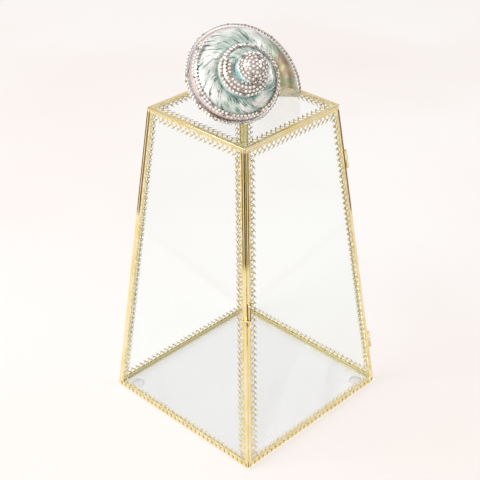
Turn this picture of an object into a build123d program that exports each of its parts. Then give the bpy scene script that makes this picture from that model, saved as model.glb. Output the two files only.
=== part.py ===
from build123d import *
import os
from math import acos, atan2, cos, exp, floor, hypot, log, pi, radians, sin, sqrt, tan

os.makedirs("parts", exist_ok=True)

# Overall sizes of the glass body, over the brass came
base_side = 130.0
top_side = 85.0
body_height = 216.0

# Panes and the brass came round them
pane_thickness = 1.5
came_depth = 2.2
stile_width = 3.8
top_rail_width = 2.4
bottom_rail_width = 2.8
base_ring_width = 3.4
stile_hold = 1.4
rail_hold = 0.5
base_hold = 1.0
arris_chamfer = 1.0
mitre_reach = 1.5

# Door, hinge and latch clearances
door_gap = 0.3
knuckle_radius = 0.95
knuckle_length = 6.0
knuckle_gap = 0.2
hinge_relief = 1.8
hinge_inset = 0.6
hinge_pin_radius = 0.4
pin_play = 0.05
hinge_head_radius = 0.75
hinge_head_height = 0.6
hinge_heights = {"lower": 30.0, "upper": 172.0}
hinge_pin_proud = 0.1
web_clearance = 0.1
hinge_web_width = 1.1
solder_reach = 2.4

# Openwork lace strip along the inside of every came
lace_thickness = 0.3
lace_pitch = 4.0
lace_tuck = 0.4
lace_rail = 0.5
lace_opening_height = 2.3
lace_opening_width = 2.9
lace_cross = 0.5
lace_tip_height = 2.0
lace_tip_width = 2.7
lace_tip_end = 0.7
lace_tip_bulge = 0.35
lace_arch = 0.8

# Clear pads under the base pane
pad_stand = 1.2
pad_radius = 4.5
pad_corner_inset = 10.0
pad_edge = 0.4

# Latch on the front corner, measured from the catch post's height
latch_height = 105.0
latch_base_length = 15.0
latch_base_low = -2.5
latch_base_near = 0.45
latch_base_far = 2.65
latch_base_face = 0.1
latch_rivet_radius = 0.8
latch_rivet_height = 0.5
latch_rivet_inset = 1.5
hook_pivot = (1.75, 0.6)
hook_clearance = 0.2
hook_thickness = 0.7
hook_width = 1.1
hook_eye_radius = 1.25
hook_pin_radius = 0.5
hook_pin_head_radius = 0.95
hook_pin_head_height = 0.5
hook_tail = (2.6, -3.4)
hook_tail_width = 1.0
hook_throat = 0.9
hook_tip_width = 0.8
hook_tip_drop = 0.7
catch_post_radius = 0.6
catch_post_place = -1.6
catch_saddle_length = 4.0
hook_rest_gap = 0.2
door_stop_side = 1.5
door_stop_length = 41.0
door_stop_gap = 0.45
door_stop_offset = 2.0

# Turban shell on the top pane: its apex direction, its spiral and the ellipse that it winds
shell_heading = -113.8
shell_rise = 37.1
shell_centre = (-2.5, 9.1, 226.7)
shell_growth = 1.9
shell_coil_radius = 27.4
shell_whorl_across = 17.2
shell_whorl_along = 19.6
shell_spire = 49.6
shell_lip_turn = -15.0
shell_lip_extra = 2.0
shell_whorls = 4
shell_base_fill = 0.75
shell_heart = 16.0
apex_dome_radius = 8.8
apex_dome_inset = 8.8
apex_dome_shift = (2.0, 1.2)
shell_columns = 48
shell_rows = 20
shell_row_crowding = 1.7
slope_step = 0.01
least_side = 1e-4
glue_thickness = 0.4
glue_spots = ((-16.0, -10.0), (25.0, 1.0))
glue_radius = 6.0

# Rhinestones: their size, spacing and where their rows run on the whorl, in degrees
stone_radius = 1.15
stone_height = 1.1
stone_sides = 6
stone_slope = 20.0
stone_pitch = 2.8
stone_glue = 0.22
stone_low_limit = 2.0
keel_row = 12.0
keel_span = (-345.0, 0.0)
shoulder_row = 44.0
shoulder_span = (-515.0, -140.0)
spire_rows = ((54.0, -700.0), (76.0, -635.0))
spire_rows_end = -540.0
apex_rings = ((0.0, 1), (20.0, 7), (38.0, 13), (56.0, 17))

# Sizes that follow
run_in = (base_side - top_side) / 2
slant = hypot(run_in, body_height)
lean = atan2(run_in, body_height)
edge_lean = atan2(run_in * sqrt(2), body_height)
taper = run_in / slant
lip = (came_depth - pane_thickness - lace_thickness) / 2
body_top = pad_stand + body_height
glass_low = lip + lace_thickness


def save(solid, name):
    solid.label = name
    export_step(solid, f"parts/{name}.step")


def wall_plane(heading):
    """Outer face of the wall that looks towards a heading, with its origin on the base edge."""
    out = Vector(cos(radians(heading)), sin(radians(heading)), 0)
    across = Vector(-out.Y, out.X, 0)
    normal = out * cos(lean) + Vector(0, 0, sin(lean))
    return Plane(origin=out * (base_side / 2) + Vector(0, 0, pad_stand), x_dir=across, z_dir=normal)


def wall_outline(side, low, high):
    """The wall's trapezoid, drawn in from its sides, its foot and its head."""
    edge = side * sqrt(1 + taper**2)

    def half(up):
        return base_side / 2 - taper * up - edge

    top = slant - high
    return [(-half(low), low), (half(low), low), (half(top), top), (-half(top), top)]


def mitre_planes(heading):
    """Planes that part a wall from its neighbours, facing the wall: left, right, foot and head."""
    out = Vector(cos(radians(heading)), sin(radians(heading)), 0)
    up = Vector(0, 0, cos(lean)) - out * sin(lean)
    foot = out * (base_side / 2) + Vector(0, 0, pad_stand)
    head = out * (top_side / 2) + Vector(0, 0, body_top)
    side = [Vector(cos(radians(heading + turn)), sin(radians(heading + turn)), 0) for turn in (45, -45)]
    return [
        Plane(origin=(0, 0, 0), z_dir=side[0]),
        Plane(origin=(0, 0, 0), z_dir=side[1]),
        Plane(origin=foot, z_dir=up + out),
        Plane(origin=head, z_dir=out - up),
    ]


def window_outline(gap):
    """Inner edge of a wall's came. The rails of a wall with a gap round it are that much deeper."""
    more = mitre_reach * gap
    return wall_outline(stile_width, bottom_rail_width + more, top_rail_width + more)


def pane_outline(gap):
    """Edge of a wall's pane, held inside the came."""
    more = mitre_reach * gap
    return wall_outline(
        stile_width - stile_hold + more,
        bottom_rail_width - rail_hold + more,
        top_rail_width - rail_hold + more,
    )


def wall_came(heading, gap=0.0, left_chamfer=arris_chamfer, right_chamfer=arris_chamfer):
    """U-section brass frame round one wall pane, mitred to its neighbours."""
    face = wall_plane(heading)
    with BuildPart() as came:
        with BuildSketch(face):
            Polygon(wall_outline(0, 0, 0))
            Polygon(window_outline(gap), mode=Mode.SUBTRACT)
        extrude(amount=-came_depth)
        with BuildSketch(face.offset(-lip)):
            Polygon(pane_outline(gap))
        extrude(amount=-(came_depth - 2 * lip), mode=Mode.SUBTRACT)
        for cut in mitre_planes(heading):
            split(bisect_by=cut.offset(gap), keep=Keep.TOP)
        outward = Axis(face.origin, face.z_dir)
        for pick, across, size in ((0, face.x_dir, left_chamfer), (-1, face.x_dir, right_chamfer)):
            rim = came.faces().filter_by(face).sort_by(outward)[-1].outer_wire()
            chamfer(rim.edges().sort_by(Axis(face.origin, across))[pick], length=size)
        for pick in (0, -1):
            rim = came.faces().filter_by(face).sort_by(outward)[-1].outer_wire()
            chamfer(rim.edges().sort_by(Axis(face.origin, face.y_dir))[pick], length=arris_chamfer)
    return came.part


def wall_pane(heading, gap=0.0):
    """Clear pane, held in the came behind the lace."""
    with BuildPart() as pane:
        with BuildSketch(wall_plane(heading).offset(-glass_low)):
            Polygon(pane_outline(gap))
        extrude(amount=-pane_thickness)
    return pane.part


def lace_comb(length, count):
    """Outline of one strip of lace along the X axis, rooted at the came's edge and growing up."""
    shoulder = lace_rail + lace_opening_height + lace_cross
    start = -(count - 1) / 2 * lace_pitch
    outline = [
        (length / 2, lace_rail),
        (length / 2 + lace_tuck, -lace_tuck),
        (-length / 2 - lace_tuck, -lace_tuck),
        (-length / 2, lace_rail),
        (start - lace_pitch / 2, lace_rail),
        (start - lace_pitch / 2, shoulder - lace_cross),
    ]
    tip_low = shoulder + lace_tip_bulge * lace_tip_height
    for tooth in range(count):
        x = start + tooth * lace_pitch
        outline.append((x - lace_tip_width / 2, shoulder))
        outline.append((x - lace_tip_width / 2, tip_low))
        outline.append((x - lace_tip_end / 2, shoulder + lace_tip_height))
        outline.append((x + lace_tip_end / 2, shoulder + lace_tip_height))
        outline.append((x + lace_tip_width / 2, tip_low))
        outline.append((x + lace_tip_width / 2, shoulder))
        outline.append((x + lace_pitch / 2, shoulder - lace_cross))
    outline.append((-start + lace_pitch / 2, lace_rail))
    return outline


def lace_opening():
    """Outline of one opening of the lace, a stilted arch."""
    half = lace_opening_width / 2
    top = lace_rail + lace_opening_height
    spring = top - lace_arch
    return [
        (-half, lace_rail),
        (half, lace_rail),
        (half, spring),
        (half - lace_arch, top),
        (lace_arch - half, top),
        (-half, spring),
    ]


def lace_frame(face, corners):
    """Four strips of lace in one plane, along the inside of a window with the given corners."""
    with BuildPart() as lace:
        with BuildSketch(face.offset(-glass_low)):
            places = []
            for (x0, y0), (x1, y1) in zip(corners, corners[1:] + corners[:1]):
                length = hypot(x1 - x0, y1 - y0)
                angle = atan2(y1 - y0, x1 - x0) * 180 / pi
                count = floor((length - 2 * (lace_rail + lace_opening_height)) / lace_pitch)
                place = Location(((x0 + x1) / 2, (y0 + y1) / 2, 0), (0, 0, angle))
                with Locations(place):
                    Polygon(lace_comb(length, count))
                first = -(count - 1) / 2 * lace_pitch
                places += [place * Location((first + k * lace_pitch, 0, 0)) for k in range(count)]
            with Locations(*places):
                Polygon(lace_opening(), mode=Mode.SUBTRACT)
        extrude(amount=lace_thickness)
    return lace.part


def corner_plane(side_x, side_y, up):
    """Plane across the corner edge of two walls: X points out of the corner, Z up along its edge."""
    foot = Vector(side_x * base_side / 2, side_y * base_side / 2, pad_stand)
    edge = Vector(-side_x * run_in, -side_y * run_in, body_height).normalized()
    beside = edge.cross(Vector(side_x, side_y, 0)).normalized()
    return Plane(origin=foot + edge * (up / edge.Z), x_dir=beside.cross(edge), z_dir=edge)


# Fixed walls and the door, named by where the photograph shows them
walls = {"front_left": 180, "back_left": 90, "back_right": 0, "door": -90}
cames = {}
for wall, heading in walls.items():
    side_gap = door_gap if wall == "door" else 0.0
    cames[wall] = wall_came(
        heading,
        gap=side_gap,
        left_chamfer=hinge_relief if wall == "back_right" else arris_chamfer,
        right_chamfer=hinge_relief if wall == "door" else arris_chamfer,
    )
    save(cames[wall], f"{wall}_came")
    save(wall_pane(heading, side_gap), f"{wall}_glass")
    save(lace_frame(wall_plane(heading), window_outline(side_gap)), f"{wall}_lace")

# Base ring and base pane, mitred under the walls
base_lip = (came_depth - pane_thickness) / 2
with BuildPart() as base_came:
    with BuildSketch(Plane.XY.offset(pad_stand)):
        Rectangle(base_side, base_side)
        Rectangle(base_side - 2 * base_ring_width, base_side - 2 * base_ring_width, mode=Mode.SUBTRACT)
    extrude(amount=came_depth)
    base_pane_side = base_side - 2 * (base_ring_width - base_hold)
    with BuildSketch(Plane.XY.offset(pad_stand + base_lip)):
        Rectangle(base_pane_side, base_pane_side)
    extrude(amount=pane_thickness, mode=Mode.SUBTRACT)
    for heading in walls.values():
        split(bisect_by=mitre_planes(heading)[2], keep=Keep.BOTTOM)
    chamfer(base_came.faces().sort_by(Axis.Z)[0].outer_wire().edges(), length=arris_chamfer)
save(base_came.part, "base_came")

with BuildPart() as base_glass:
    with BuildSketch(Plane.XY.offset(pad_stand + base_lip)):
        Rectangle(base_pane_side, base_pane_side)
    extrude(amount=pane_thickness)
save(base_glass.part, "base_glass")

# Clear pads, stuck to the underside of the base pane inside its came
pad_spacing = base_side - 2 * pad_corner_inset
with BuildPart() as foot_pads:
    with GridLocations(pad_spacing, pad_spacing, 2, 2):
        Cylinder(pad_radius, pad_stand + base_lip, align=(Align.CENTER, Align.CENTER, Align.MIN))
    chamfer(foot_pads.faces().group_by(Axis.Z)[0].edges(), length=pad_edge)
save(foot_pads.part, "foot_pads")

# Top ring, top pane and the lace that points inwards over it
top_window = top_side - 2 * top_rail_width
top_pane_side = top_window + 2 * rail_hold
with BuildPart() as top_came:
    with BuildSketch(Plane.XY.offset(body_top)):
        Rectangle(top_side, top_side)
        Rectangle(top_window, top_window, mode=Mode.SUBTRACT)
    extrude(amount=-came_depth)
    with BuildSketch(Plane.XY.offset(body_top - lip)):
        Rectangle(top_pane_side, top_pane_side)
    extrude(amount=-(came_depth - 2 * lip), mode=Mode.SUBTRACT)
    for heading in walls.values():
        split(bisect_by=mitre_planes(heading)[3], keep=Keep.BOTTOM)
    chamfer(top_came.faces().sort_by(Axis.Z)[-1].outer_wire().edges(), length=arris_chamfer)
save(top_came.part, "top_came")

top_face = body_top - glass_low
with BuildPart() as top_glass:
    with BuildSketch(Plane.XY.offset(top_face)):
        Rectangle(top_pane_side, top_pane_side)
    extrude(amount=-pane_thickness)
save(top_glass.part, "top_glass")

half_window = top_window / 2
top_corners = [(x * half_window, y * half_window) for x, y in ((-1, -1), (1, -1), (1, 1), (-1, 1))]
save(lace_frame(Plane.XY.offset(body_top), top_corners), "top_lace")


def hinge_knuckle(up, side, came):
    """Barrel in the groove of the hinged corner, soldered to the came on one side of it."""
    across = corner_plane(1, -1, up)
    near = (knuckle_radius - hinge_web_width) if side > 0 else door_gap
    low, high = sorted((side * max(near, web_clearance), side * (near + hinge_web_width)))
    with BuildPart() as knuckle:
        with BuildSketch(across):
            with Locations((-hinge_inset, 0)):
                Circle(knuckle_radius)
            Polygon([(-solder_reach, low), (-hinge_inset, low), (-hinge_inset, high), (-solder_reach, high)])
            with Locations((-hinge_inset, 0)):
                Circle(hinge_pin_radius + pin_play, mode=Mode.SUBTRACT)
        extrude(amount=knuckle_length)
        add(came, mode=Mode.SUBTRACT)
    return knuckle.part.solids().sort_by(SortBy.VOLUME)[-1]


# Two barrel hinges on the corner at the image's right: fixed knuckle below, door knuckle on top
for name, up in hinge_heights.items():
    lift = (knuckle_length + knuckle_gap) * cos(edge_lean)
    save(hinge_knuckle(up, 1, cames["back_right"]), f"{name}_hinge_fixed_knuckle")
    save(hinge_knuckle(up + lift, -1, cames["door"]), f"{name}_hinge_door_knuckle")
    with BuildPart() as pin:
        span = 2 * knuckle_length + knuckle_gap + hinge_pin_proud
        with BuildSketch(corner_plane(1, -1, up)):
            with Locations((-hinge_inset, 0)):
                Circle(hinge_pin_radius)
        extrude(amount=span)
        with BuildSketch(corner_plane(1, -1, up + span * cos(edge_lean))):
            with Locations((-hinge_inset, 0)):
                Circle(hinge_head_radius)
        extrude(amount=hinge_head_height)
    save(pin.part, f"{name}_hinge_pin")

# Latch, drawn in the plane across the front corner: X to the door's side, Y up, Z out of the corner
corner = corner_plane(-1, -1, latch_height)
latch = Plane(origin=corner.origin, x_dir=Vector(1, -1, 0), z_dir=corner.x_dir)
face_slope = 1 / tan(acos(-sin(lean) ** 2) / 2)


def corner_wedge(near, far, face, low, length):
    """Prism that sits on one wall's came with its front square to the corner."""
    with BuildPart() as wedge:
        foot = latch.origin + latch.y_dir * low
        back_near, back_far = -abs(near) * face_slope, -abs(far) * face_slope
        with BuildSketch(Plane(origin=foot, x_dir=latch.x_dir, z_dir=-latch.y_dir)):
            Polygon([(near, face), (far, face), (far, back_far), (near, back_near)])
        extrude(amount=-length)
    return wedge.part


latch_base = corner_wedge(
    latch_base_near, latch_base_far, latch_base_face, latch_base_low, latch_base_length
)
save(latch_base, "latch_base")

hook_back = latch_base_face + hook_clearance
hook_front = hook_back + hook_thickness
with BuildPart() as latch_pivot_pin:
    with BuildSketch(latch.offset(latch_base_face)):
        with Locations(hook_pivot):
            Circle(hook_pin_radius)
    extrude(amount=hook_front + pin_play - latch_base_face)
    with BuildSketch(latch.offset(hook_front + pin_play)):
        with Locations(hook_pivot):
            Circle(hook_pin_head_radius)
    extrude(amount=hook_pin_head_height)
save(latch_pivot_pin.part, "latch_pivot_pin")

with BuildPart() as latch_rivet:
    with BuildSketch(latch.offset(latch_base_face)):
        with Locations((hook_pivot[0], latch_base_low + latch_base_length - latch_rivet_inset)):
            Circle(latch_rivet_radius)
    extrude(amount=latch_rivet_height)
    rivet_head = latch_rivet.faces().sort_by(Axis(latch.origin, latch.z_dir))[-1]
    chamfer(rivet_head.edges(), length=latch_rivet_height / 2)
save(latch_rivet.part, "latch_rivet")

# Hook: an eye on the pivot, an arm over the catch post with a tip beyond it, and a thumb tail
arm_under = catch_post_radius + hook_rest_gap
tip_inside = catch_post_place - catch_post_radius - hook_throat
tip_outside = tip_inside - hook_tip_width
arm_top = arm_under + hook_width
eye_x, eye_y = hook_pivot
tail_x, tail_y = hook_tail
with BuildPart() as latch_hook:
    with BuildSketch(latch.offset(hook_back)):
        with Locations(hook_pivot):
            Circle(hook_eye_radius)
        Polygon(
            [
                (eye_x, arm_under),
                (eye_x, arm_top),
                (tip_outside + hook_tip_width, arm_top),
                (tip_outside, arm_under),
                (tip_outside, -hook_tip_drop),
                (tip_inside, -hook_tip_drop),
                (tip_inside, arm_under),
            ]
        )
        Polygon(
            [
                (eye_x - hook_tail_width / 2, eye_y),
                (tail_x - hook_tail_width / 2, tail_y),
                (tail_x + hook_tail_width / 2, tail_y),
                (eye_x + hook_tail_width, eye_y),
            ]
        )
        with Locations(hook_pivot):
            Circle(hook_pin_radius + pin_play, mode=Mode.SUBTRACT)
    extrude(amount=hook_thickness)
save(latch_hook.part, "latch_hook")

# Catch post on its saddle, flush with the hook's front so that the hook can leave with the door
with BuildPart() as catch_post:
    add(
        corner_wedge(
            -latch_base_far, -latch_base_near, latch_base_face, -catch_saddle_length / 2, catch_saddle_length
        )
    )
    with BuildSketch(latch.offset(latch_base_face)):
        with Locations((catch_post_place, 0)):
            Circle(catch_post_radius)
    extrude(amount=hook_front - latch_base_face)
save(catch_post.part, "catch_post")

# Stop bar inside the front corner, soldered to the fixed came, that the door closes against
stop_plane = wall_plane(walls["front_left"]).offset(-came_depth)
stop_up = (latch_height + door_stop_offset) / cos(lean)
stop_inset = (came_depth + door_stop_gap + door_stop_side / 2) * sqrt(1 + taper**2)
stop_side = base_side / 2 - taper * stop_up - stop_inset
with BuildPart() as door_stop:
    with BuildSketch(stop_plane):
        with Locations(Location((stop_side, stop_up, 0), (0, 0, atan2(taper, 1) * 180 / pi))):
            Rectangle(door_stop_side, door_stop_length)
    extrude(amount=-door_stop_side)
save(door_stop.part, "door_stop")

# The shell's own axes: out of the apex, level to its right, and square to both
heading_angle, rise_angle = radians(shell_heading), radians(shell_rise)
shell_level = Vector(cos(heading_angle), sin(heading_angle), 0)
shell_axis = shell_level * cos(rise_angle) + Vector(0, 0, sin(rise_angle))
shell_right = Vector(0, 0, 1).cross(shell_axis).normalized()
shell_up = shell_axis.cross(shell_right)
growth_rate = log(shell_growth) / (2 * pi)
shell_seat = top_face + glue_thickness


def shell_point(around, radius, along):
    """Point at an angle round the shell's axis, a radius from it and a height along it."""
    spoke = shell_right * cos(around) + shell_up * sin(around)
    return Vector(*shell_centre) + spoke * radius + shell_axis * along


def whorl_point(turn, row):
    """Point on the whorl, a turn back from the lip and a row up from its widest line."""
    size = exp(growth_rate * turn)
    radius = size * (shell_coil_radius + shell_whorl_across * cos(row))
    along = shell_spire * (1 - size) + size * shell_whorl_along * sin(row)
    return shell_point(radians(shell_lip_turn) - turn, radius, along)


def whorl_plane(turn, row):
    """Plane on the whorl's surface, facing out of it."""
    forward = whorl_point(turn + slope_step, row) - whorl_point(turn - slope_step, row)
    upward = whorl_point(turn, row + slope_step) - whorl_point(turn, row - slope_step)
    normal = upward.cross(forward).normalized()
    spot = whorl_point(turn, row)
    if normal.dot(spot - whorl_point(turn, row + pi)) < 0:
        normal = normal * -1
    return Plane(origin=spot + normal * stone_glue, x_dir=forward, z_dir=normal)


def shell_reach(turn, tilt):
    """Distance from the shell's heart to its outside, on the spoke of a turn, tilted from the axis."""
    rise, run = cos(tilt), sin(tilt)
    size = exp(growth_rate * turn)
    limits = [shell_coil_radius * size / max(run, least_side)]
    cone = shell_spire * run + shell_coil_radius * rise
    if cone > 0:
        limits.append(shell_coil_radius * (shell_spire - shell_heart) / cone)
    if rise < 0:
        base = shell_base_fill * size * shell_whorl_along - shell_spire * (1 - size)
        limits.append((shell_heart + base) / -rise)
    reach = min(limits)
    for back in range(shell_whorls):
        size = exp(growth_rate * (turn - 2 * pi * back))
        across, along = size * shell_whorl_across, size * shell_whorl_along
        x0, y0 = -size * shell_coil_radius, shell_heart - shell_spire * (1 - size)
        a = (run / across) ** 2 + (rise / along) ** 2
        b = x0 * run / across**2 + y0 * rise / along**2
        c = (x0 / across) ** 2 + (y0 / along) ** 2 - 1
        if b * b > a * c:
            reach = max(reach, (-b + sqrt(b * b - a * c)) / a)
    spoke = radians(shell_lip_turn) - turn
    aside, lift = apex_dome_shift
    dome = shell_spire - apex_dome_inset - shell_heart
    ahead = run * (aside * cos(spoke) + lift * sin(spoke)) + rise * dome
    beside = aside**2 + lift**2 + dome**2 - ahead**2
    if apex_dome_radius**2 > beside and ahead > 0:
        reach = max(reach, ahead + sqrt(apex_dome_radius**2 - beside))
    return reach


def shell_column(turn):
    """Points down the shell's outside on one spoke, from the apex to the middle of the base."""
    points = []
    for row in range(shell_rows + 1):
        tilt = pi * (row / shell_rows) ** shell_row_crowding
        reach = shell_reach(turn, tilt)
        spoke = radians(shell_lip_turn) - turn
        points.append(shell_point(spoke, reach * sin(tilt), shell_heart + reach * cos(tilt)))
    return points


def skin(first, second):
    """Triangles between two neighbouring columns of points."""
    faces = []
    for (a, b), (c, d) in zip(zip(first, first[1:]), zip(second, second[1:])):
        for three in ((a, b, c), (b, d, c)):
            sides = [(three[i] - three[i - 1]).length for i in range(3)]
            if min(sides) > least_side:
                faces.append(Face(Wire.make_polygon(three)))
    return faces


lip_end = radians(shell_lip_extra)
turns = [lip_end - 2 * pi * k / shell_columns for k in range(shell_columns + 1)]
columns = [shell_column(turn) for turn in turns]
pole_top = columns[0][0]
pole_low = columns[shell_columns // 2][-1]
for column in columns:
    column[0] = pole_top
    column[-1] = pole_low
with BuildPart() as turban_shell:
    shell_faces = []
    for first, second in zip(columns, columns[1:]):
        shell_faces += skin(first, second)
    shell_faces += skin(columns[-1], columns[0])
    add(Solid(Shell(shell_faces)))
    split(bisect_by=Plane.XY.offset(shell_seat), keep=Keep.TOP)
save(turban_shell.part, "turban_shell")

with BuildPart() as shell_glue:
    with BuildSketch(Plane.XY.offset(top_face)):
        with Locations(*glue_spots):
            Circle(glue_radius)
    extrude(amount=glue_thickness)
save(shell_glue.part, "shell_glue")


def stone_row(row, span):
    """Planes for one row of stones at an even pitch along the whorl."""
    planes = []
    turn, last = radians(span[0]), radians(span[1])
    while turn < last:
        plane = whorl_plane(turn, radians(row))
        if plane.origin.Z > shell_seat + stone_low_limit:
            planes.append(plane)
        ahead = whorl_point(turn + slope_step, radians(row)) - whorl_point(turn, radians(row))
        turn += stone_pitch * slope_step / ahead.length
    return planes


def set_stones(planes, name):
    with BuildPart() as stones:
        with BuildSketch(*planes):
            RegularPolygon(stone_radius, stone_sides)
        extrude(amount=stone_height, taper=stone_slope)
    save(stones.part, name)


set_stones(stone_row(keel_row, keel_span), "outer_rhinestone_chain")
set_stones(stone_row(shoulder_row, shoulder_span), "inner_rhinestone_chain")
spire_planes = [plane for row, start in spire_rows for plane in stone_row(row, (start, spire_rows_end))]
set_stones(spire_planes, "spire_rhinestones")

dome_centre = shell_point(0, 0, shell_spire - apex_dome_inset)
dome_centre += shell_right * apex_dome_shift[0] + shell_up * apex_dome_shift[1]
apex_planes = []
for tilt, count in apex_rings:
    for k in range(count):
        out = shell_point(2 * pi * k / count, sin(radians(tilt)), cos(radians(tilt))) - Vector(*shell_centre)
        apex_planes.append(Plane(origin=dome_centre + out * (apex_dome_radius + stone_glue), z_dir=out))
set_stones(apex_planes, "apex_rhinestones")
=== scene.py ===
from math import atan2, cos, exp, floor, hypot, log, pi, radians, sin

import bmesh
import bpy
from bmesh.types import BMEdge, BMFace, BMVert
from mathutils import Matrix, Vector


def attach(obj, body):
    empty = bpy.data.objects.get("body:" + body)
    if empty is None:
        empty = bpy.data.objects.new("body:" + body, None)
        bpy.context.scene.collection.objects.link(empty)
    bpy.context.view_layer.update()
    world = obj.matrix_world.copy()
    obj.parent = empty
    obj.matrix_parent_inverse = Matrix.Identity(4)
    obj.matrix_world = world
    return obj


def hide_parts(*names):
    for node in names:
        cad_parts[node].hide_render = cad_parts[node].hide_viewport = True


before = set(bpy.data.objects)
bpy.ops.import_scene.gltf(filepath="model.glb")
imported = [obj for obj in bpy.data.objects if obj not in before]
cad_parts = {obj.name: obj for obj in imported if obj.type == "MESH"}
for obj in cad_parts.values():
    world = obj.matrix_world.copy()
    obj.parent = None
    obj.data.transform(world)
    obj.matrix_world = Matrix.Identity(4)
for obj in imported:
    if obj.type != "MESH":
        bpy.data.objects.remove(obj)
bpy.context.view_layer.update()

# The camera stands above the front corner, as it does in the photograph: the corner with the
# latch points at it, and it looks down by about a third of a right angle.
eye = Vector((-0.4705, -0.4668, 0.5215))
camera_yaw, camera_pitch, camera_roll = radians(45.08), radians(-31.23), radians(-0.78)
camera_data = bpy.data.cameras.new("camera")
camera_data.sensor_width = 36
camera_data.lens = 87.5
camera_data.clip_start = 0.01
camera = bpy.data.objects.new("camera", camera_data)
bpy.context.scene.collection.objects.link(camera)
aim = Matrix.Rotation(camera_yaw - pi / 2, 4, "Z") @ Matrix.Rotation(pi / 2 + camera_pitch, 4, "X")
camera.matrix_world = Matrix.Translation(eye) @ aim @ Matrix.Rotation(camera_roll, 4, "Z")
bpy.context.scene.camera = camera
bpy.context.scene.view_settings.view_transform = "Standard"


# The floor is a plain pale table top under a plain pale sky. Two large soft lamps and the sky
# light the box at an even level, and polished metal sees a few dim bands of a room in the sky.
class Wire:
    """One socket of a node tree, on which sums are written as plain expressions."""

    def __init__(self, tree, socket=None):
        self.tree = tree
        self.socket = socket

    def node(self, kind, inputs=(), output=0, **settings):
        """Adds a node: its settings first, then its sockets' values or links."""
        made = self.tree.nodes.new("ShaderNode" + kind)
        for name, value in settings.items():
            setattr(made, name, value)
        for name, value in dict(inputs).items():
            if isinstance(value, Wire):
                self.tree.links.new(value.socket, made.inputs[name])
            else:
                made.inputs[name].default_value = value
        return Wire(self.tree, made.outputs[output])

    def sum(self, operation, first, second=0.0):
        return self.node("Math", {0: first, 1: second}, operation=operation)

    def __add__(self, other):
        return self.sum("ADD", self, other)

    def __radd__(self, other):
        return self.sum("ADD", other, self)

    def __sub__(self, other):
        return self.sum("SUBTRACT", self, other)

    def __rsub__(self, other):
        return self.sum("SUBTRACT", other, self)

    def __mul__(self, other):
        return self.sum("MULTIPLY", self, other)

    def __rmul__(self, other):
        return self.sum("MULTIPLY", other, self)

    def capped(self):
        """This value, held down to 1."""
        return self.sum("MINIMUM", self, 1.0)

    def step(self, low, high):
        """Rises smoothly from 0 to 1 between two values."""
        return self.node("MapRange", {0: self, 1: low, 2: high}, interpolation_type="SMOOTHSTEP")

    def band(self, middle, half, soft):
        """Is 1 within a distance of a middle value and fades to 0 beyond it."""
        return 1 - self.sum("ABSOLUTE", self - middle).step(half, half + soft)

    def mix(self, first, second):
        """Goes from one colour to another as this value rises."""
        first = first if isinstance(first, Wire) else (*first, 1)
        second = second if isinstance(second, Wire) else (*second, 1)
        return self.node("Mix", {0: self, 6: first, 7: second}, output=2, data_type="RGBA")

    def place(self):
        """The place on the piece, in metres."""
        return self.node("TexCoord", output="Object")

    def axis(self, name, place):
        """One of a place's three coordinates."""
        return self.node("SeparateXYZ", {0: place}, output=name)

    def attribute(self, name):
        """A value that the mesh's vertices carry."""
        return self.node("Attribute", attribute_name=name, output="Fac")

    def noise(self, place, scale, detail=2.0, rough=0.5):
        inputs = {"Vector": place, "Scale": scale, "Detail": detail, "Roughness": rough}
        return self.node("TexNoise", inputs)

    def stretched_noise(self, place, level, upright, detail=3.0):
        """Noise with one scale over the level directions and another upward."""
        scaled = self.node("Mapping", {"Vector": place, "Scale": (level, level, upright)})
        return self.noise(scaled, 1.0, detail)


def tone(*screen):
    """A colour as a screen shows it, three numbers from 0 to 255, in the light's own scale."""
    shares = [level / 255 for level in screen]
    return tuple(((s + 0.055) / 1.055) ** 2.4 if s > 0.04 else s / 12.92 for s in shares)


def fill_tree(tree, shade, output, socket):
    tree.nodes.clear()
    last = shade(Wire(tree))
    tree.links.new(last.socket, tree.nodes.new(output).inputs[socket])


def coat(name, shade):
    """Makes a material from a function that takes an empty tree and gives its last shader."""
    made = bpy.data.materials.new(name)
    made.use_nodes = True
    fill_tree(made.node_tree, shade, "ShaderNodeOutputMaterial", "Surface")
    return made


def take_mesh(bm, name):
    """Turns a bmesh into a mesh and frees it."""
    mesh = bpy.data.meshes.new(name)
    bm.to_mesh(mesh)
    bm.free()
    return mesh


def ray(w, kind):
    return w.node("LightPath", output=f"Is {kind} Ray")


def table_top(w):
    # The fold marks are painted shade of soft cloth folds, a little darker and pinker, on the flat
    # floor.
    painted_fold_shade = w.noise(w.place(), 2.2, 3.0).step(0.35, 0.7)
    cloth = painted_fold_shade.mix(tone(255, 252, 250), tone(252, 244, 240))
    matt = w.node("BsdfPrincipled", {
        "Base Color": cloth, "Roughness": 0.7, "Specular IOR Level": 0.2,
    })
    seen = ray(w, "Camera") + ray(w, "Glossy") + ray(w, "Transmission")
    glow = w.node("Emission", {"Color": cloth, "Strength": 1.0})
    return w.node("MixShader", {0: seen.capped() * 0.7, 1: matt, 2: glow})


def room(w):
    seen = ray(w, "Camera") + ray(w, "Transmission")
    glossy = ray(w, "Glossy")
    place = w.node("TexCoord", output="Generated")
    patches = w.noise(place, 1.6, 2.0).step(0.44, 0.56)
    dim = w.axis("Z", place).band(0.2, 0.1, 0.1) * patches
    unseen = 1 - (seen + glossy).capped()
    strength = seen + glossy * (1.02 - 0.85 * dim) + unseen * 0.62
    return w.node("Background", {"Color": (*tone(255, 250, 248), 1), "Strength": strength})


floor_reach = 4.0
lamp_target = Vector((0, 0, 0.1))
bm = bmesh.new()
bmesh.ops.create_grid(bm, x_segments=1, y_segments=1, size=floor_reach)
floor_mesh = take_mesh(bm, "floor")
floor_mesh.materials.append(coat("table_top", table_top))
floor_object = bpy.data.objects.new("floor", floor_mesh)
bpy.context.scene.collection.objects.link(floor_object)

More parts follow.
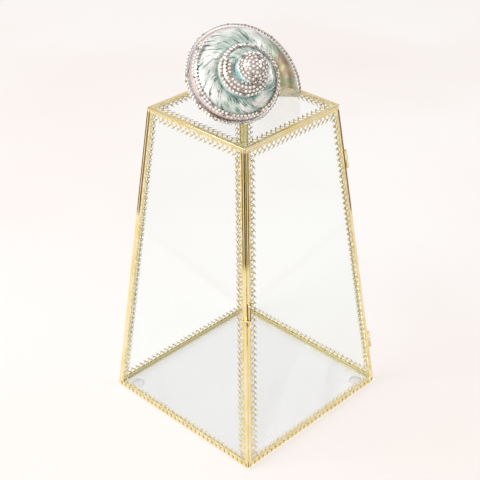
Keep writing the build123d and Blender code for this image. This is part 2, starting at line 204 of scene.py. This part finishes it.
sky = bpy.data.worlds.new("room")
sky.use_nodes = True
fill_tree(sky.node_tree, room, "ShaderNodeOutputWorld", "Surface")
bpy.context.scene.world = sky

for lamp_name, lamp_place, lamp_size, lamp_power in (
    ("key_lamp", (-1.0, 0.35, 1.0), 0.9, 13.0),
    ("side_lamp", (0.8, -1.0, 1.0), 0.8, 3.5),
):
    lamp_data = bpy.data.lights.new(lamp_name, "AREA")
    lamp_data.size = lamp_size
    lamp_data.energy = lamp_power
    lamp = bpy.data.objects.new(lamp_name, lamp_data)
    bpy.context.scene.collection.objects.link(lamp)
    lamp.location = lamp_place
    lamp_back = Vector(lamp_place) - lamp_target
    lamp.rotation_euler = lamp_back.to_track_quat("Z", "Y").to_euler()

# The came is a narrow channel of thin pale gold brass, drawn half round, mitred at its corners
# and soldered. Polish has left it bright. Dark reflections are painted in stripes along the stiles
# and rails, painted shade darkens the seam edges, and two rows of small dark dots of painted
# shade, as seen through the lace's eyes, run along its foot rails.
base_side, top_side, body_height = 0.130, 0.085, 0.216
pad_stand = 0.0012
came_depth = 0.0022
stile_width, top_rail_width, bottom_rail_width, base_ring_width = 0.0038, 0.0024, 0.0028, 0.0034
door_gap, rail_gap_share = 0.0003, 1.5
mitre_slope, mitre_gap_share = 1.02, 1.42
barrel_hollow, hollow_slope = 0.00185, 0.42
inner_face_share = 2.0
# The pitch of the dots of painted shade along the foot rails.
eye_shade_pitch = 0.004
run_in = (base_side - top_side) / 2
slant = hypot(run_in, body_height)
lean = atan2(run_in, body_height)
taper = run_in / slant
body_top = pad_stand + body_height
bar_profile = (
    (0.0, came_depth), (0.0, 0.00046), (0.06, 0.0002), (0.16, 0.00005), (0.34, 0.0),
    (0.55, 0.00002), (0.72, 0.00012), (0.86, 0.00032), (0.95, 0.00058),
    (1.0, 0.00095), (1.0, came_depth),
)


def rightward(w, place):
    """How far a place lies to the right over the two front walls."""
    return w.axis("X", place) - w.axis("Y", place)


def came_brass(w):
    place = w.place()
    across = w.attribute("across")
    height = w.axis("Z", place)
    streaks = w.stretched_noise(place, 900.0, 30.0)
    cloud = w.noise(place, 60.0, 3.0)
    metal = cloud.step(0.3, 0.7).mix(tone(248, 228, 160), tone(254, 243, 204))
    # Painted reflections: two dark olive and brown stripes along each bar, strongest on the upper
    # stiles.
    upper_reflection_reach = height.step(0.138, 0.146) * (1 - 0.7 * height.step(0.2138, 0.2148))
    reflection_lines = across.band(0.2, 0.12, 0.04) + across.band(0.66, 0.13, 0.05) * 0.9
    painted_reflection = (reflection_lines * (0.06 + 0.94 * upper_reflection_reach) * (0.75 + streaks * 0.5)).capped()
    metal = painted_reflection.mix(metal, across.step(0.3, 0.6).mix(tone(78, 60, 18), tone(108, 68, 34)))
    # The inner faces are duller, and painted shade darkens them towards the bottom.
    inside = across.step(1.2, 1.8)
    dull_with_low_shade = height.step(0.006, 0.03).mix(tone(204, 198, 160), tone(232, 228, 170))
    metal = inside.mix(metal, dull_with_low_shade)
    # Two rows of small dark dots along the foot rails are painted shade, as seen through the lace's
    # eyes.
    beat = w.sum("FRACT", rightward(w, place) * (1 / eye_shade_pitch))
    eye_shade_dots = across.band(0.84, 0.13, 0.06) + across.band(0.4, 0.1, 0.06) * 0.6
    eye_shade_dots = beat.band(0.5, 0.14, 0.06) * eye_shade_dots * (1 - height.step(0.0042, 0.0046))
    metal = eye_shade_dots.mix(metal, tone(84, 56, 20))
    # Painted shade darkens the bar's outer edge along the seam.
    seam_shade = (1 - across.step(0.0, 0.04)) * 0.7
    metal = seam_shade.mix(metal, tone(96, 72, 26))
    dents = w.noise(place, 900.0, 2.0)
    return w.node("BsdfPrincipled", {
        "Base Color": metal,
        "Metallic": 1 - inside * 0.5,
        "Roughness": 0.16 + streaks * 0.16 + inside * 0.25,
        "Normal": w.node("Bump", {"Height": dents, "Strength": 0.12, "Distance": 0.0001}),
    })


def wall_axes(heading):
    """A wall's level way out, its way up and its normal."""
    out = Vector((cos(radians(heading)), sin(radians(heading)), 0))
    up = Vector((0, 0, cos(lean))) - out * sin(lean)
    return out, up, out * cos(lean) + Vector((0, 0, sin(lean)))


def wall_corners(heading, left, right, foot, head, depth):
    """Four corners of a wall's trapezoid, drawn in from its sides and sunk below its face."""
    out, up, normal = wall_axes(heading)
    across = Vector((-out.y, out.x, 0))
    face = out * (base_side / 2) + Vector((0, 0, pad_stand)) - normal * depth
    top = slant - head
    corners = []
    for side, inset, rise in ((-1, left, foot), (1, right, foot), (1, right, top), (-1, left, top)):
        x = side * (base_side / 2 - taper * rise - inset * hypot(1, taper))
        corners.append(face + across * x + up * rise)
    return corners


def level_corners(half, height):
    """Four corners of a level square about the middle of the box."""
    return [Vector((x * half, y * half, height)) for x, y in ((-1, -1), (1, -1), (1, 1), (-1, 1))]


def pick(items, kind):
    """Those of a bmesh's items that are vertices, edges or faces."""
    return [item for item in items if isinstance(item, kind)]


def grow(bm, edges):
    """Draws edges out into a strip of faces, and gives the far edges and their vertices."""
    grown = bmesh.ops.extrude_edge_only(bm, edges=edges)["geom"]
    verts = pick(grown, BMVert)
    fresh = set(verts)
    return [edge for edge in pick(grown, BMEdge) if fresh.issuperset(edge.verts)], verts


def grow_frame(bm, rings):
    """Grows a mitred frame from ring to ring, each of which is four corners and a share across."""
    shares = bm.verts.layers.float.new("across")
    points, share = rings[0]
    verts = [bm.verts.new(point) for point in points]
    for vert in verts:
        vert[shares] = share
    edges = [bm.edges.new((verts[i - 1], verts[i])) for i in range(len(verts))]
    first = list(edges)
    for next_points, share in rings[1:]:
        edges, verts = grow(bm, edges)
        for vert in verts:
            nearest = min(range(len(points)), key=lambda i: (vert.co - points[i]).length)
            vert.co = next_points[nearest]
            vert[shares] = share
        points = next_points
    bmesh.ops.bridge_loops(bm, edges=first + edges)


def settle(bm, name, material, body, nodes, crease=radians(40), flat=False):
    """Turns a bmesh into a finished piece, with its edges sharp past an angle."""
    bmesh.ops.recalc_face_normals(bm, faces=bm.faces)
    for face in bm.faces:
        face.smooth = not flat
    for edge in bm.edges:
        edge.smooth = len(edge.link_faces) == 2 and edge.calc_face_angle() < crease
    mesh = take_mesh(bm, name)
    mesh.materials.append(material)
    piece = bpy.data.objects.new(name, mesh)
    bpy.context.scene.collection.objects.link(piece)
    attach(piece, body)
    if nodes:
        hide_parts(*nodes)
    return piece


def bar_start(depth, gap, relieved):
    """Least inset of a bar at a depth: the mitre, or the hollow that a hinge barrel lies in."""
    mitre = depth * mitre_slope + gap * mitre_gap_share
    return max(mitre, barrel_hollow - hollow_slope * depth) if relieved else mitre


def bar_share(share, depth):
    """The share across that a line of the bar carries, which goes past 1 on its inner face."""
    return share if depth < came_depth else inner_face_share


came_metal = coat("came_brass", came_brass)
walls = {"front_left": 180, "back_left": 90, "back_right": 0, "door": -90}
wall_bodies = {wall: "door" if wall == "door" else "case" for wall in walls}
for wall, heading in walls.items():
    gap = door_gap if wall == "door" else 0.0
    rings = []
    for share, depth in bar_profile:
        least = bar_start(depth, gap, False)
        left = max(share * stile_width, bar_start(depth, gap, wall == "back_right"))
        right = max(share * stile_width, bar_start(depth, gap, wall == "door"))
        foot = max(share * (bottom_rail_width + rail_gap_share * gap), least)
        head = max(share * (top_rail_width + rail_gap_share * gap), least)
        corners = wall_corners(heading, left, right, foot, head, depth)
        rings.append((corners, bar_share(share, depth)))
    bm = bmesh.new()
    grow_frame(bm, rings)
    settle(bm, wall + "_bars", came_metal, wall_bodies[wall], [wall + "_came"])

for name, side, width, height, way, node in (
    ("top_bars", top_side, top_rail_width, body_top, -1, "top_came"),
    ("base_bars", base_side, base_ring_width, pad_stand, 1, "base_came"),
):
    rings = []
    for share, depth in bar_profile:
        inset = max(share * width, bar_start(depth, 0.0, False))
        corners = level_corners(side / 2 - inset, height + way * depth)
        rings.append((corners, bar_share(share, depth)))
    bm = bmesh.new()
    grow_frame(bm, rings)
    settle(bm, name, came_metal, "case", [node])


# The panes are clear drawn glass, 1.5 mm thick and cut to fit the came's channel. Only a faint
# veil of reflection and a few wiped streaks show on them, and a little more at a slant. The base
# pane looks a little greyer than the others.
def clear_glass(w, veil, shine):
    wiped = w.stretched_noise(w.place(), 9.0, 3.0).step(0.45, 0.75)
    rim = w.sum("POWER", w.node("LayerWeight", {"Blend": 0.5}, output="Facing"), 4.0)
    sheet = w.node("BsdfPrincipled", {
        "Base Color": (*shine, 1), "Metallic": 1.0, "Roughness": 0.03 + wiped * 0.05,
    })
    open_air = w.node("BsdfTransparent", {"Color": (*tone(254, 255, 255), 1)})
    share = (veil * (0.8 + wiped * 0.7) + rim * 0.5).capped()
    return w.node("MixShader", {0: share, 1: open_air, 2: sheet})


pane_glass = coat("pane_glass", lambda w: clear_glass(w, 0.01, tone(255, 255, 255)))
floor_glass = coat("floor_glass", lambda w: clear_glass(w, 0.2, tone(236, 238, 241)))
for name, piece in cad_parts.items():
    if name.endswith("_glass"):
        for slot in piece.material_slots:
            slot.material = floor_glass if name == "base_glass" else pane_glass

# The lace is gallery strip: thin pale brass pressed into a row of round eyes with a hooked leaf
# on each, laid over the pane and soldered along the inside of every came. Its tooth is drawn
# here in millimetres, as an eye, two rings round it and the steps of its leaf.
lace_pitch, lace_rail, lace_opening, lace_thickness = 0.004, 0.0005, 0.0023, 0.0001
lace_tuck, rail_reach = 0.0004, 0.00045
wall_rail_shoulder, top_rail_shoulder = 0.00018, 0.0002
rail_under, rail_edge, rail_face = 0.00046, 0.00034, 0.00024
rail_share = 0.5
glass_depth, tooth_lift = 0.0005, 0.00012
millimetre = 0.001
eye_middle, eye_wide, eye_high, rim_rise = 1.62, 1.36, 1.1, 0.16
rim_rings = ((1.66, 1.34, rim_rise), (2.03, 1.62, 0.0))
leaf_foot, leaf_core = 2.7, 0.25
leaf_steps = (
    (0.05, 0.4, 0.55, 0.12), (0.3, 0.6, 0.8, 0.14), (0.6, 0.65, 0.9, 0.12),
    (0.65, 0.4, 0.7, 0.08), (0.5, -0.1, 0.3, 0.0),
)


def lace_brass(w):
    place = w.place()
    worn = w.noise(place, 420.0, 3.0).step(0.35, 0.65)
    metal = worn.mix(tone(224, 204, 142), tone(250, 240, 200))
    # Painted shade darkens the flat parts of each tooth away from its raised crest, less so low
    # down.
    rim_shade_strength = 0.15 + 0.6 * w.axis("Z", place).step(0.015, 0.06)
    metal = (w.attribute("rim").step(0.35, 1.0) * rim_shade_strength).mix(metal, tone(112, 96, 50))
    return w.node("BsdfPrincipled", {
        "Base Color": metal, "Metallic": 0.9, "Roughness": 0.3 + worn * 0.15,
    })


lace_metal = coat("lace_brass", lace_brass)
bm = bmesh.new()
eye_ring = bmesh.ops.create_circle(bm, segments=12, radius=1.0)["verts"]
eye_shape = Matrix.Translation((0, eye_middle, 0)) @ Matrix.Diagonal((eye_wide, eye_high, 1, 1))
bmesh.ops.transform(bm, matrix=eye_shape, verts=eye_ring)
edges = list(bm.edges)
for across, along, rise in rim_rings:
    edges, verts = grow(bm, edges)
    for vert in verts:
        way = Vector((vert.co.x, vert.co.y - eye_middle, 0)).normalized()
        vert.co = (way.x * across, eye_middle + way.y * along, rise)
edges = [edge for edge in edges if all(vert.co.y > leaf_foot for vert in edge.verts)]
for step_x, step_y, wide, rise in leaf_steps:
    edges, tip = grow(bm, edges)
    leaf_step = Vector((step_x, step_y, 0))
    middle = sum((vert.co for vert in tip), Vector()) / len(tip)
    for vert in tip:
        vert.co = middle + (vert.co - middle) * wide + leaf_step
        in_core = (vert.co - middle - leaf_step).length < leaf_core * wide
        vert.co.z = rise if in_core else 0.0
tooth = take_mesh(bm, "tooth")
tooth_rims = [1 - vert.co.z / rim_rise for vert in tooth.vertices]


def rail_profile(shoulder):
    """The rail's section: how far past the came each line of it lies, and how deep."""
    return (
        (-lace_tuck, rail_under), (-lace_tuck, rail_face), (shoulder, rail_face),
        (rail_reach, rail_edge), (rail_reach, rail_under),
    )


def window_corners(heading, gap, more, depth):
    """Four corners of the window that a wall's came leaves, drawn in by a little more."""
    side = stile_width + more
    foot, head = bottom_rail_width + gap + more, top_rail_width + gap + more
    return wall_corners(heading, side, side, foot, head, depth)


def add_teeth(bm, corners, normal):
    """Sets teeth along the inside of four corners, anticlockwise seen from outside."""
    rims = bm.verts.layers.float.new("rim")
    for start, end in zip(corners, corners[1:] + corners[:1]):
        along = (end - start).normalized()
        turned = Matrix((along, normal.cross(along), normal)).transposed().to_4x4()
        count = floor(((end - start).length - 2 * (lace_rail + lace_opening)) / lace_pitch)
        for tooth_index in range(count):
            steps = tooth_index - (count - 1) / 2
            spot = (start + end) / 2 + along * steps * lace_pitch + normal * tooth_lift
            known = len(bm.verts)
            bm.from_mesh(tooth)
            bm.verts.ensure_lookup_table()
            placed = Matrix.Translation(spot) @ turned @ Matrix.Scale(millimetre, 4)
            bmesh.ops.transform(bm, matrix=placed, verts=bm.verts[known:])
            for vert, rim in zip(bm.verts[known:], tooth_rims):
                vert[rims] = rim


def finish_lace(bm, name, body, node):
    piece = settle(bm, name, lace_metal, body, [node], crease=radians(60))
    thick = piece.modifiers.new("thickness", "SOLIDIFY")
    thick.thickness = lace_thickness
    thick.offset = 0.0


for wall, heading in walls.items():
    gap = rail_gap_share * door_gap if wall == "door" else 0.0
    rings = []
    for more, depth in rail_profile(wall_rail_shoulder):
        rings.append((window_corners(heading, gap, more, depth), rail_share))
    bm = bmesh.new()
    grow_frame(bm, rings)
    add_teeth(bm, window_corners(heading, gap, 0.0, glass_depth), wall_axes(heading)[2])
    finish_lace(bm, wall + "_lace_strip", wall_bodies[wall], wall + "_lace")

top_window = top_side / 2 - top_rail_width
rings = []
for more, depth in rail_profile(top_rail_shoulder):
    rings.append((level_corners(top_window - more, body_top - depth), rail_share))
bm = bmesh.new()
grow_frame(bm, rings)
add_teeth(bm, level_corners(top_window, body_top - glass_depth), Vector((0, 0, 1)))
finish_lace(bm, "top_lace_strip", "case", "top_lace")

# The feet are clear soft bumpers, low domes with a flat top, stuck under the base pane inside
# its came so that the brass stands clear of the table.
pad_radius, pad_spot = 0.0045, 0.055
pad_height = pad_stand + 0.00035
pad_outline = (
    (0.0, 0.0), (0.0034, 0.0), (0.0041, 0.00015), (pad_radius, 0.0006),
    (pad_radius, pad_height), (0.0, pad_height),
)


def clear_rubber(w):
    cloud = w.noise(w.place(), 300.0, 2.0)
    return w.node("BsdfPrincipled", {
        "Base Color": cloud.mix(tone(232, 234, 232), tone(250, 251, 249)),
        "Roughness": 0.25 + cloud * 0.1,
        "Alpha": 0.12 + cloud * 0.1,
    })


bm = bmesh.new()
for centre in level_corners(pad_spot, 0.0):
    verts = [bm.verts.new(centre + Vector((radius, 0, z))) for radius, z in pad_outline]
    edges = [bm.edges.new(pair) for pair in zip(verts, verts[1:])]
    bmesh.ops.spin(
        bm, geom=verts + edges, cent=centre, axis=(0, 0, 1), angle=2 * pi, steps=32,
        use_merge=True,
    )
bmesh.ops.remove_doubles(bm, verts=bm.verts, dist=1e-6)
rubber = coat("clear_rubber", clear_rubber)
settle(bm, "bumper_feet", rubber, "case", ["foot_pads"])


# The hinges, the latch, its catch and the stop bar are small turned and cut pieces of the same
# brass, kept as the frame gives them and polished. Dark reflections are painted along the latch
# plate's edges.
def small_brass(w):
    place = w.place()
    worn = w.noise(place, 500.0, 3.0).step(0.35, 0.65)
    metal = worn.mix(tone(234, 210, 146), tone(252, 242, 206))
    spots = w.noise(place, 1500.0, 2.0).step(0.6, 0.72) * 0.5
    return w.node("BsdfPrincipled", {
        "Base Color": spots.mix(metal, tone(98, 70, 28)),
        "Metallic": 1.0,
        "Roughness": 0.18 + worn * 0.12,
    })


def plate_brass(w):
    place = w.place()
    offset = rightward(w, place) * (1000 / 2 ** 0.5)
    worn = w.stretched_noise(place, 1200.0, 300.0)
    metal = worn.step(0.35, 0.65).mix(tone(236, 206, 130), tone(253, 240, 196))
    # Two bands of painted dark reflection run along the plate's edges.
    edges = (offset.band(0.6, 0.42, 0.2) + offset.band(2.5, 0.42, 0.2)).capped()
    return w.node("BsdfPrincipled", {
        "Base Color": (edges * (0.5 + worn * 0.6)).mix(metal, tone(84, 50, 16)),
        "Metallic": 1.0,
        "Roughness": 0.2 + worn * 0.12,
    })


fitting_metal = coat("small_brass", small_brass)
latch_plate_metal = coat("plate_brass", plate_brass)
for name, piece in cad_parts.items():
    if any(word in name for word in ("hinge", "latch", "catch", "stop")):
        for slot in piece.material_slots:
            slot.material = latch_plate_metal if name == "latch_base" else fitting_metal

# The finial is a polished turban shell, ground down to its green nacre. Its whorl is one oval
# that turns and shrinks about the apex, so each ring of the mesh is the last one moved by the
# same step. It is ground flat below and cemented to the top pane.
shell_centre = Vector((-0.0025, 0.0091, 0.2267))
shell_heading, shell_rise = radians(-113.8), radians(37.1)
shell_level = Vector((cos(shell_heading), sin(shell_heading), 0))
shell_axis = shell_level * cos(shell_rise) + Vector((0, 0, sin(shell_rise)))
shell_right = Vector((0, 0, 1)).cross(shell_axis).normalized()
shell_up = shell_axis.cross(shell_right)
growth = log(1.9) / (2 * pi)
coil_radius, whorl_across, whorl_along, spire = 0.0274, 0.0172, 0.0196, 0.0496
lip_turn, lip_end = radians(-15), radians(2)
oval_sides, rings_per_turn, ring_count = 48, 60, 210
mouth_inset, mouth_mark = 0.0014, -1.0
shell_seat = 0.2171
dome_radius = 0.0088
dome_centre = (
    shell_centre + shell_axis * (spire - dome_radius) + shell_right * 0.002 + shell_up * 0.0012
)
dome_turn_mark, dome_row_mark = 2.5, 8.0


def whorl_reach(turn, row):
    """How far a place on the whorl lies from the shell's axis, and how far along it."""
    size = exp(growth * turn)
    radius = size * (coil_radius + whorl_across * cos(row))
    return radius, spire * (1 - size) + size * whorl_along * sin(row)


def whorl_point(turn, row):
    """A point on the whorl: an angle back from the lip, and an angle up from its widest line."""
    around = lip_turn - turn
    spoke = shell_right * cos(around) + shell_up * sin(around)
    radius, along = whorl_reach(turn, row)
    return shell_centre + spoke * radius + shell_axis * along


def grain(w, first, second, layer=0.0, detail=2.0, rough=0.5):
    """Noise drawn over two measures, on a layer of its own."""
    return w.noise(w.node("CombineXYZ", {0: first, 1: second, 2: layer}), 1.0, detail, rough)


def nacre(w):
    turn, row = w.attribute("turn"), w.attribute("row")
    along, up = turn * 25.0, row * 1.9
    warp = grain(w, along * 0.5, up * 0.6)
    slanted = along * 0.75 + up * 0.9 + warp * 1.1
    level = along * 0.8 - up * 0.75
    fine = grain(w, slanted * 4.2, level * 0.55, detail=3.0, rough=0.55)
    broad = grain(w, slanted * 0.9, level * 0.3, 4.0)
    clouds = grain(w, along * 0.45, up * 0.5, 9.0)
    pearl = clouds.step(0.38, 0.62).mix(tone(178, 198, 186), tone(240, 243, 238))
    pearl = broad.step(0.5, 0.62).mix(pearl, tone(142, 172, 160))
    warm = grain(w, slanted * 1.6, level * 0.4, 17.0).step(0.58, 0.68)
    pearl = (warm * 0.65).mix(pearl, tone(232, 214, 208))
    # The left of the whorl is painted near white, a painted highlight where the light falls on it.
    pale = turn.band(0.5, 0.08, 0.14) * (0.4 + 0.6 * clouds.step(0.35, 0.6))
    pearl = (pale * 0.7).mix(pearl, tone(250, 251, 248))

    smooth = row.band(0.5, 0.16, 0.04)
    streaked = (1 - smooth) * (1 - turn.step(1.45, 1.7) * 0.85)
    light_streaks = (1 - fine.step(0.34, 0.44)) * streaked * 0.7
    pearl = light_streaks.mix(pearl, tone(250, 252, 250))
    dark_streaks = fine.step(0.54, 0.62) * streaked * (0.35 + 0.6 * broad.step(0.38, 0.58))
    pearl = dark_streaks.mix(pearl, tone(52, 74, 66))
    rose_band = smooth * turn.band(0.5, 0.8, 0.2) * 0.85
    rose = clouds.step(0.4, 0.6).mix(tone(212, 192, 200), tone(226, 196, 188))
    pearl = rose_band.mix(pearl, rose)
    # A thin white line along the whorl is a painted highlight.
    shine = row.band(0.63, 0.012, 0.02) * turn.band(0.5, 0.6, 0.2)
    pearl = shine.mix(pearl, tone(255, 252, 250))
    copper = row.band(0.35, 0.03, 0.05) * turn.band(0.8, 0.14, 0.1)
    pearl = (copper * 0.9).mix(pearl, tone(150, 84, 62))
    under = (1 - row.step(0.0, 0.12)) * 0.6
    pearl = under.mix(pearl, tone(150, 172, 164))

    lip = 1 - turn.step(0.06, 0.2)
    olive = clouds.step(0.4, 0.6).mix(tone(136, 150, 104), tone(200, 186, 128))
    olive = (fine.step(0.52, 0.6) * 0.7).mix(olive, tone(140, 96, 64))
    olive = broad.step(0.5, 0.62).mix(olive, tone(110, 150, 116))
    edge_turn = turn + (warp - 0.5) * 0.05
    bars = edge_turn.band(0.085, 0.008, 0.016) + edge_turn.band(0.045, 0.004, 0.01) * 0.7
    olive = (bars * 0.75).mix(olive, tone(156, 100, 60))
    pearl = (lip * 0.9).mix(pearl, olive)
    mouth = 1 - turn.step(-0.6, -0.3)
    pearl = mouth.mix(pearl, fine.step(0.45, 0.6).mix(tone(196, 180, 116), tone(118, 112, 64)))

    tip = turn.step(1.5, 1.75)
    frost = clouds.step(0.3, 0.7).mix(tone(120, 188, 190), tone(226, 240, 244))
    pearl = (tip * 0.9).mix(pearl, frost)
    bed = turn.band(1.69, 0.24, 0.03) * row.band(1.1, 0.65, 0.1) + row.step(5.0, 6.0)
    bed_grey = clouds.step(0.3, 0.7).mix(tone(176, 160, 150), tone(212, 200, 190))
    pearl = (bed.capped() * 0.85).mix(pearl, bed_grey)
    return w.node("BsdfPrincipled", {
        "Base Color": pearl,
        "Roughness": 0.2 + fine * 0.15,
        "Metallic": 0.15 + clouds * 0.2,
        "Coat Weight": 0.5,
        "Coat Roughness": 0.08,
        "Normal": w.node("Bump", {"Height": fine, "Strength": 0.12, "Distance": 0.0002}),
    })


bm = bmesh.new()
turn_marks = bm.verts.layers.float.new("turn")
row_marks = bm.verts.layers.float.new("row")
oval = bmesh.ops.create_circle(bm, segments=oval_sides, radius=1.0, cap_ends=True)["verts"]
for vert in oval:
    vert[row_marks] = atan2(vert.co.y, vert.co.x)
lip_size = exp(growth * lip_end)
lip_spoke = shell_right * cos(lip_turn - lip_end) + shell_up * sin(lip_turn - lip_end)
lip_centre = shell_centre + lip_spoke * coil_radius * lip_size + shell_axis * spire * (1 - lip_size)
oval_turn = Matrix((lip_spoke, shell_axis, lip_spoke.cross(shell_axis))).transposed().to_4x4()
oval_scale = Matrix.Diagonal((whorl_across * lip_size, whorl_along * lip_size, 1, 1))
bmesh.ops.transform(bm, matrix=Matrix.Translation(lip_centre) @ oval_turn @ oval_scale, verts=oval)
apex = shell_centre + shell_axis * spire
stride = 2 * pi / rings_per_turn
growth_step = (
    Matrix.Translation(apex)
    @ Matrix.Rotation(stride, 4, shell_axis)
    @ Matrix.Scale(exp(-growth * stride), 4)
    @ Matrix.Translation(-apex)
)
ring = list(bm.edges)
mouth_edge = set(bm.verts)
bmesh.ops.inset_individual(bm, faces=list(bm.faces), thickness=mouth_inset)
for vert in bm.verts:
    if vert not in mouth_edge:
        vert[turn_marks] = mouth_mark
for ring_index in range(1, ring_count + 1):
    ring, moved = grow(bm, ring)
    bmesh.ops.transform(bm, matrix=growth_step, verts=moved)
    for vert in moved:
        vert[turn_marks] = ring_index / rings_per_turn
bmesh.ops.contextual_create(bm, geom=ring)
cut = bmesh.ops.bisect_plane(
    bm, geom=list(bm.verts) + list(bm.edges) + list(bm.faces),
    plane_co=(0, 0, shell_seat), plane_no=(0, 0, 1), clear_inner=True,
)["geom_cut"]
bmesh.ops.triangle_fill(bm, use_beauty=True, edges=pick(cut, BMEdge))
dome = bmesh.ops.create_uvsphere(bm, u_segments=32, v_segments=16, radius=dome_radius)["verts"]
bmesh.ops.transform(bm, matrix=Matrix.Translation(dome_centre), verts=dome)
for vert in dome:
    vert[turn_marks] = dome_turn_mark
    vert[row_marks] = dome_row_mark
shell_nacre = coat("nacre", nacre)
settle(bm, "polished_shell", shell_nacre, "case", ["turban_shell"], crease=radians(50))

# Rhinestone chain follows the shell's keel and shoulder, with rows of single stones round the
# spire and over its dome: each is a small foiled brilliant in a silvered cup, and some are dark.
stone_radius, stone_pitch, stone_lift = 0.0011, 0.0023, 0.00012
seat_clearance, cover_margin = 0.0014, 1.06
small_turn = 0.01
golden_share = 0.618034
spire_rows = ((36, -705, -512), (58, -705, -508), (80, -690, -508), (102, -670, -590))
dome_rings = ((0, 1), (15, 6), (30, 12), (45, 17), (60, 21), (75, 23))


def foiled_stone(w):
    glint = w.noise(w.place(), 1300.0, 1.0).step(0.35, 0.65)
    bright = glint.mix(tone(246, 238, 232), tone(255, 254, 252))
    dark = glint.mix(tone(92, 80, 76), tone(196, 182, 176))
    return w.node("BsdfPrincipled", {
        "Base Color": w.attribute("tint").step(0.84, 0.9).mix(bright, dark),
        "Metallic": 0.35,
        "Roughness": 0.06 + glint * 0.06,
    })


def silvered_cup(w):
    worn = w.noise(w.place(), 900.0, 2.0)
    return w.node("BsdfPrincipled", {
        "Base Color": worn.step(0.3, 0.7).mix(tone(140, 126, 116), tone(222, 212, 202)),
        "Metallic": 1.0,
        "Roughness": 0.25 + worn * 0.1,
    })


def stacked_mesh(name, radius, layers):
    """An eight-sided plate raised layer by layer, each one scaled and lifted from the last."""
    bm = bmesh.new()
    bmesh.ops.create_circle(bm, segments=8, radius=radius, cap_ends=True)
    faces = list(bm.faces)
    for wide, rise in layers:
        grown = bmesh.ops.extrude_face_region(bm, geom=faces)["geom"]
        faces = pick(grown, BMFace)
        raised = Matrix.Translation((0, 0, rise)) @ Matrix.Diagonal((wide, wide, 1, 1))
        bmesh.ops.transform(bm, matrix=raised, verts=pick(grown, BMVert))
    return take_mesh(bm, name)


def whorl_seat(turn, row):
    """A place on the whorl, the way out of it and the way along its row."""
    forward = whorl_point(turn + small_turn, row) - whorl_point(turn - small_turn, row)
    upward = whorl_point(turn, row + small_turn) - whorl_point(turn, row - small_turn)
    out = upward.cross(forward).normalized()
    spot = whorl_point(turn, row)
    if out.dot(spot - whorl_point(turn, row + pi)) < 0:
        out.negate()
    return spot, out, forward.normalized()


def covered(turn, row):
    """Whether the next turn towards the apex or the lip lies over a place on the whorl."""
    size = exp(growth * turn)
    radius, along = whorl_reach(turn, row)
    for other in (exp(growth * (turn - 2 * pi)), exp(growth * (turn + 2 * pi))):
        if turn + 2 * pi > lip_end and other > size:
            continue
        reach = (radius - other * coil_radius) / (other * whorl_across)
        rise = (along - spire * (1 - other)) / (other * whorl_along)
        if hypot(reach, rise) < cover_margin:
            return True
    return False


def row_seats(row_degrees, start, end):
    """Seats at an even pitch along one row of the whorl."""
    seats, turn, row = [], radians(start), radians(row_degrees)
    while turn < radians(end):
        seat = whorl_seat(turn, row)
        if seat[0].z > shell_seat + seat_clearance and not covered(turn, row):
            seats.append(seat)
        ahead = whorl_point(turn + small_turn, row) - whorl_point(turn, row)
        turn += stone_pitch * small_turn / ahead.length
    return seats


def set_stones(name, seats, node):
    stones, cups = bmesh.new(), bmesh.new()
    tints = stones.verts.layers.float.new("tint")
    for seat_index, (spot, out, forward) in enumerate(seats):
        turned = Matrix((forward, out.cross(forward), out)).transposed().to_4x4()
        raised = Matrix.Translation(spot + out * stone_lift)
        placed = raised @ turned @ Matrix.Scale(stone_radius, 4)
        for target, shape in ((stones, stone), (cups, cup)):
            known = len(target.verts)
            target.from_mesh(shape)
            target.verts.ensure_lookup_table()
            bmesh.ops.transform(target, matrix=placed, verts=target.verts[known:])
            if target is stones:
                for vert in target.verts[known:]:
                    vert[tints] = (seat_index * golden_share) % 1
    settle(stones, name + "_stones", stone_finish, "case", [node], flat=True)
    settle(cups, name + "_cups", cup_finish, "case", [], flat=True)


stone_finish, cup_finish = coat("foiled_stone", foiled_stone), coat("silvered_cup", silvered_cup)
stone = stacked_mesh("stone", 0.82, ((1.0, 0.35), (0.7, 0.42)))
cup = stacked_mesh("cup", 0.8, ((1.18, 0.42),))
keel_seats = row_seats(8, -345, 0) + row_seats(16, -345, 0)
set_stones("keel", keel_seats, "outer_rhinestone_chain")
shoulder_seats = row_seats(40.5, -510, -140) + row_seats(48.5, -510, -140)
set_stones("shoulder", shoulder_seats, "inner_rhinestone_chain")
spire_seats = []
for row_degrees, start, end in spire_rows:
    spire_seats += row_seats(row_degrees, start, end)
set_stones("spire", spire_seats, "spire_rhinestones")
dome_seats = []
for tilt, count in dome_rings:
    for stone_index in range(count):
        around = 2 * pi * (stone_index + 0.3 * tilt / 12) / count
        side = shell_right * cos(around) + shell_up * sin(around)
        out = side * sin(radians(tilt)) + shell_axis * cos(radians(tilt))
        dome_seats.append((dome_centre + out * dome_radius, out, out.orthogonal().normalized()))
set_stones("apex", dome_seats, "apex_rhinestones")


# Two dabs of clear cement hold the shell to the top pane. They are squeezed flat between the
# shell's ground seat and the glass, and are kept as the frame gives them.
def clear_cement(w):
    cloud = w.noise(w.place(), 200.0, 2.0)
    return w.node("BsdfPrincipled", {
        "Base Color": cloud.mix(tone(214, 220, 212), tone(240, 242, 236)),
        "Roughness": 0.2 + cloud * 0.2,
        "Alpha": 0.7,
    })


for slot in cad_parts["shell_glue"].material_slots:
    slot.material = coat("clear_cement", clear_cement)
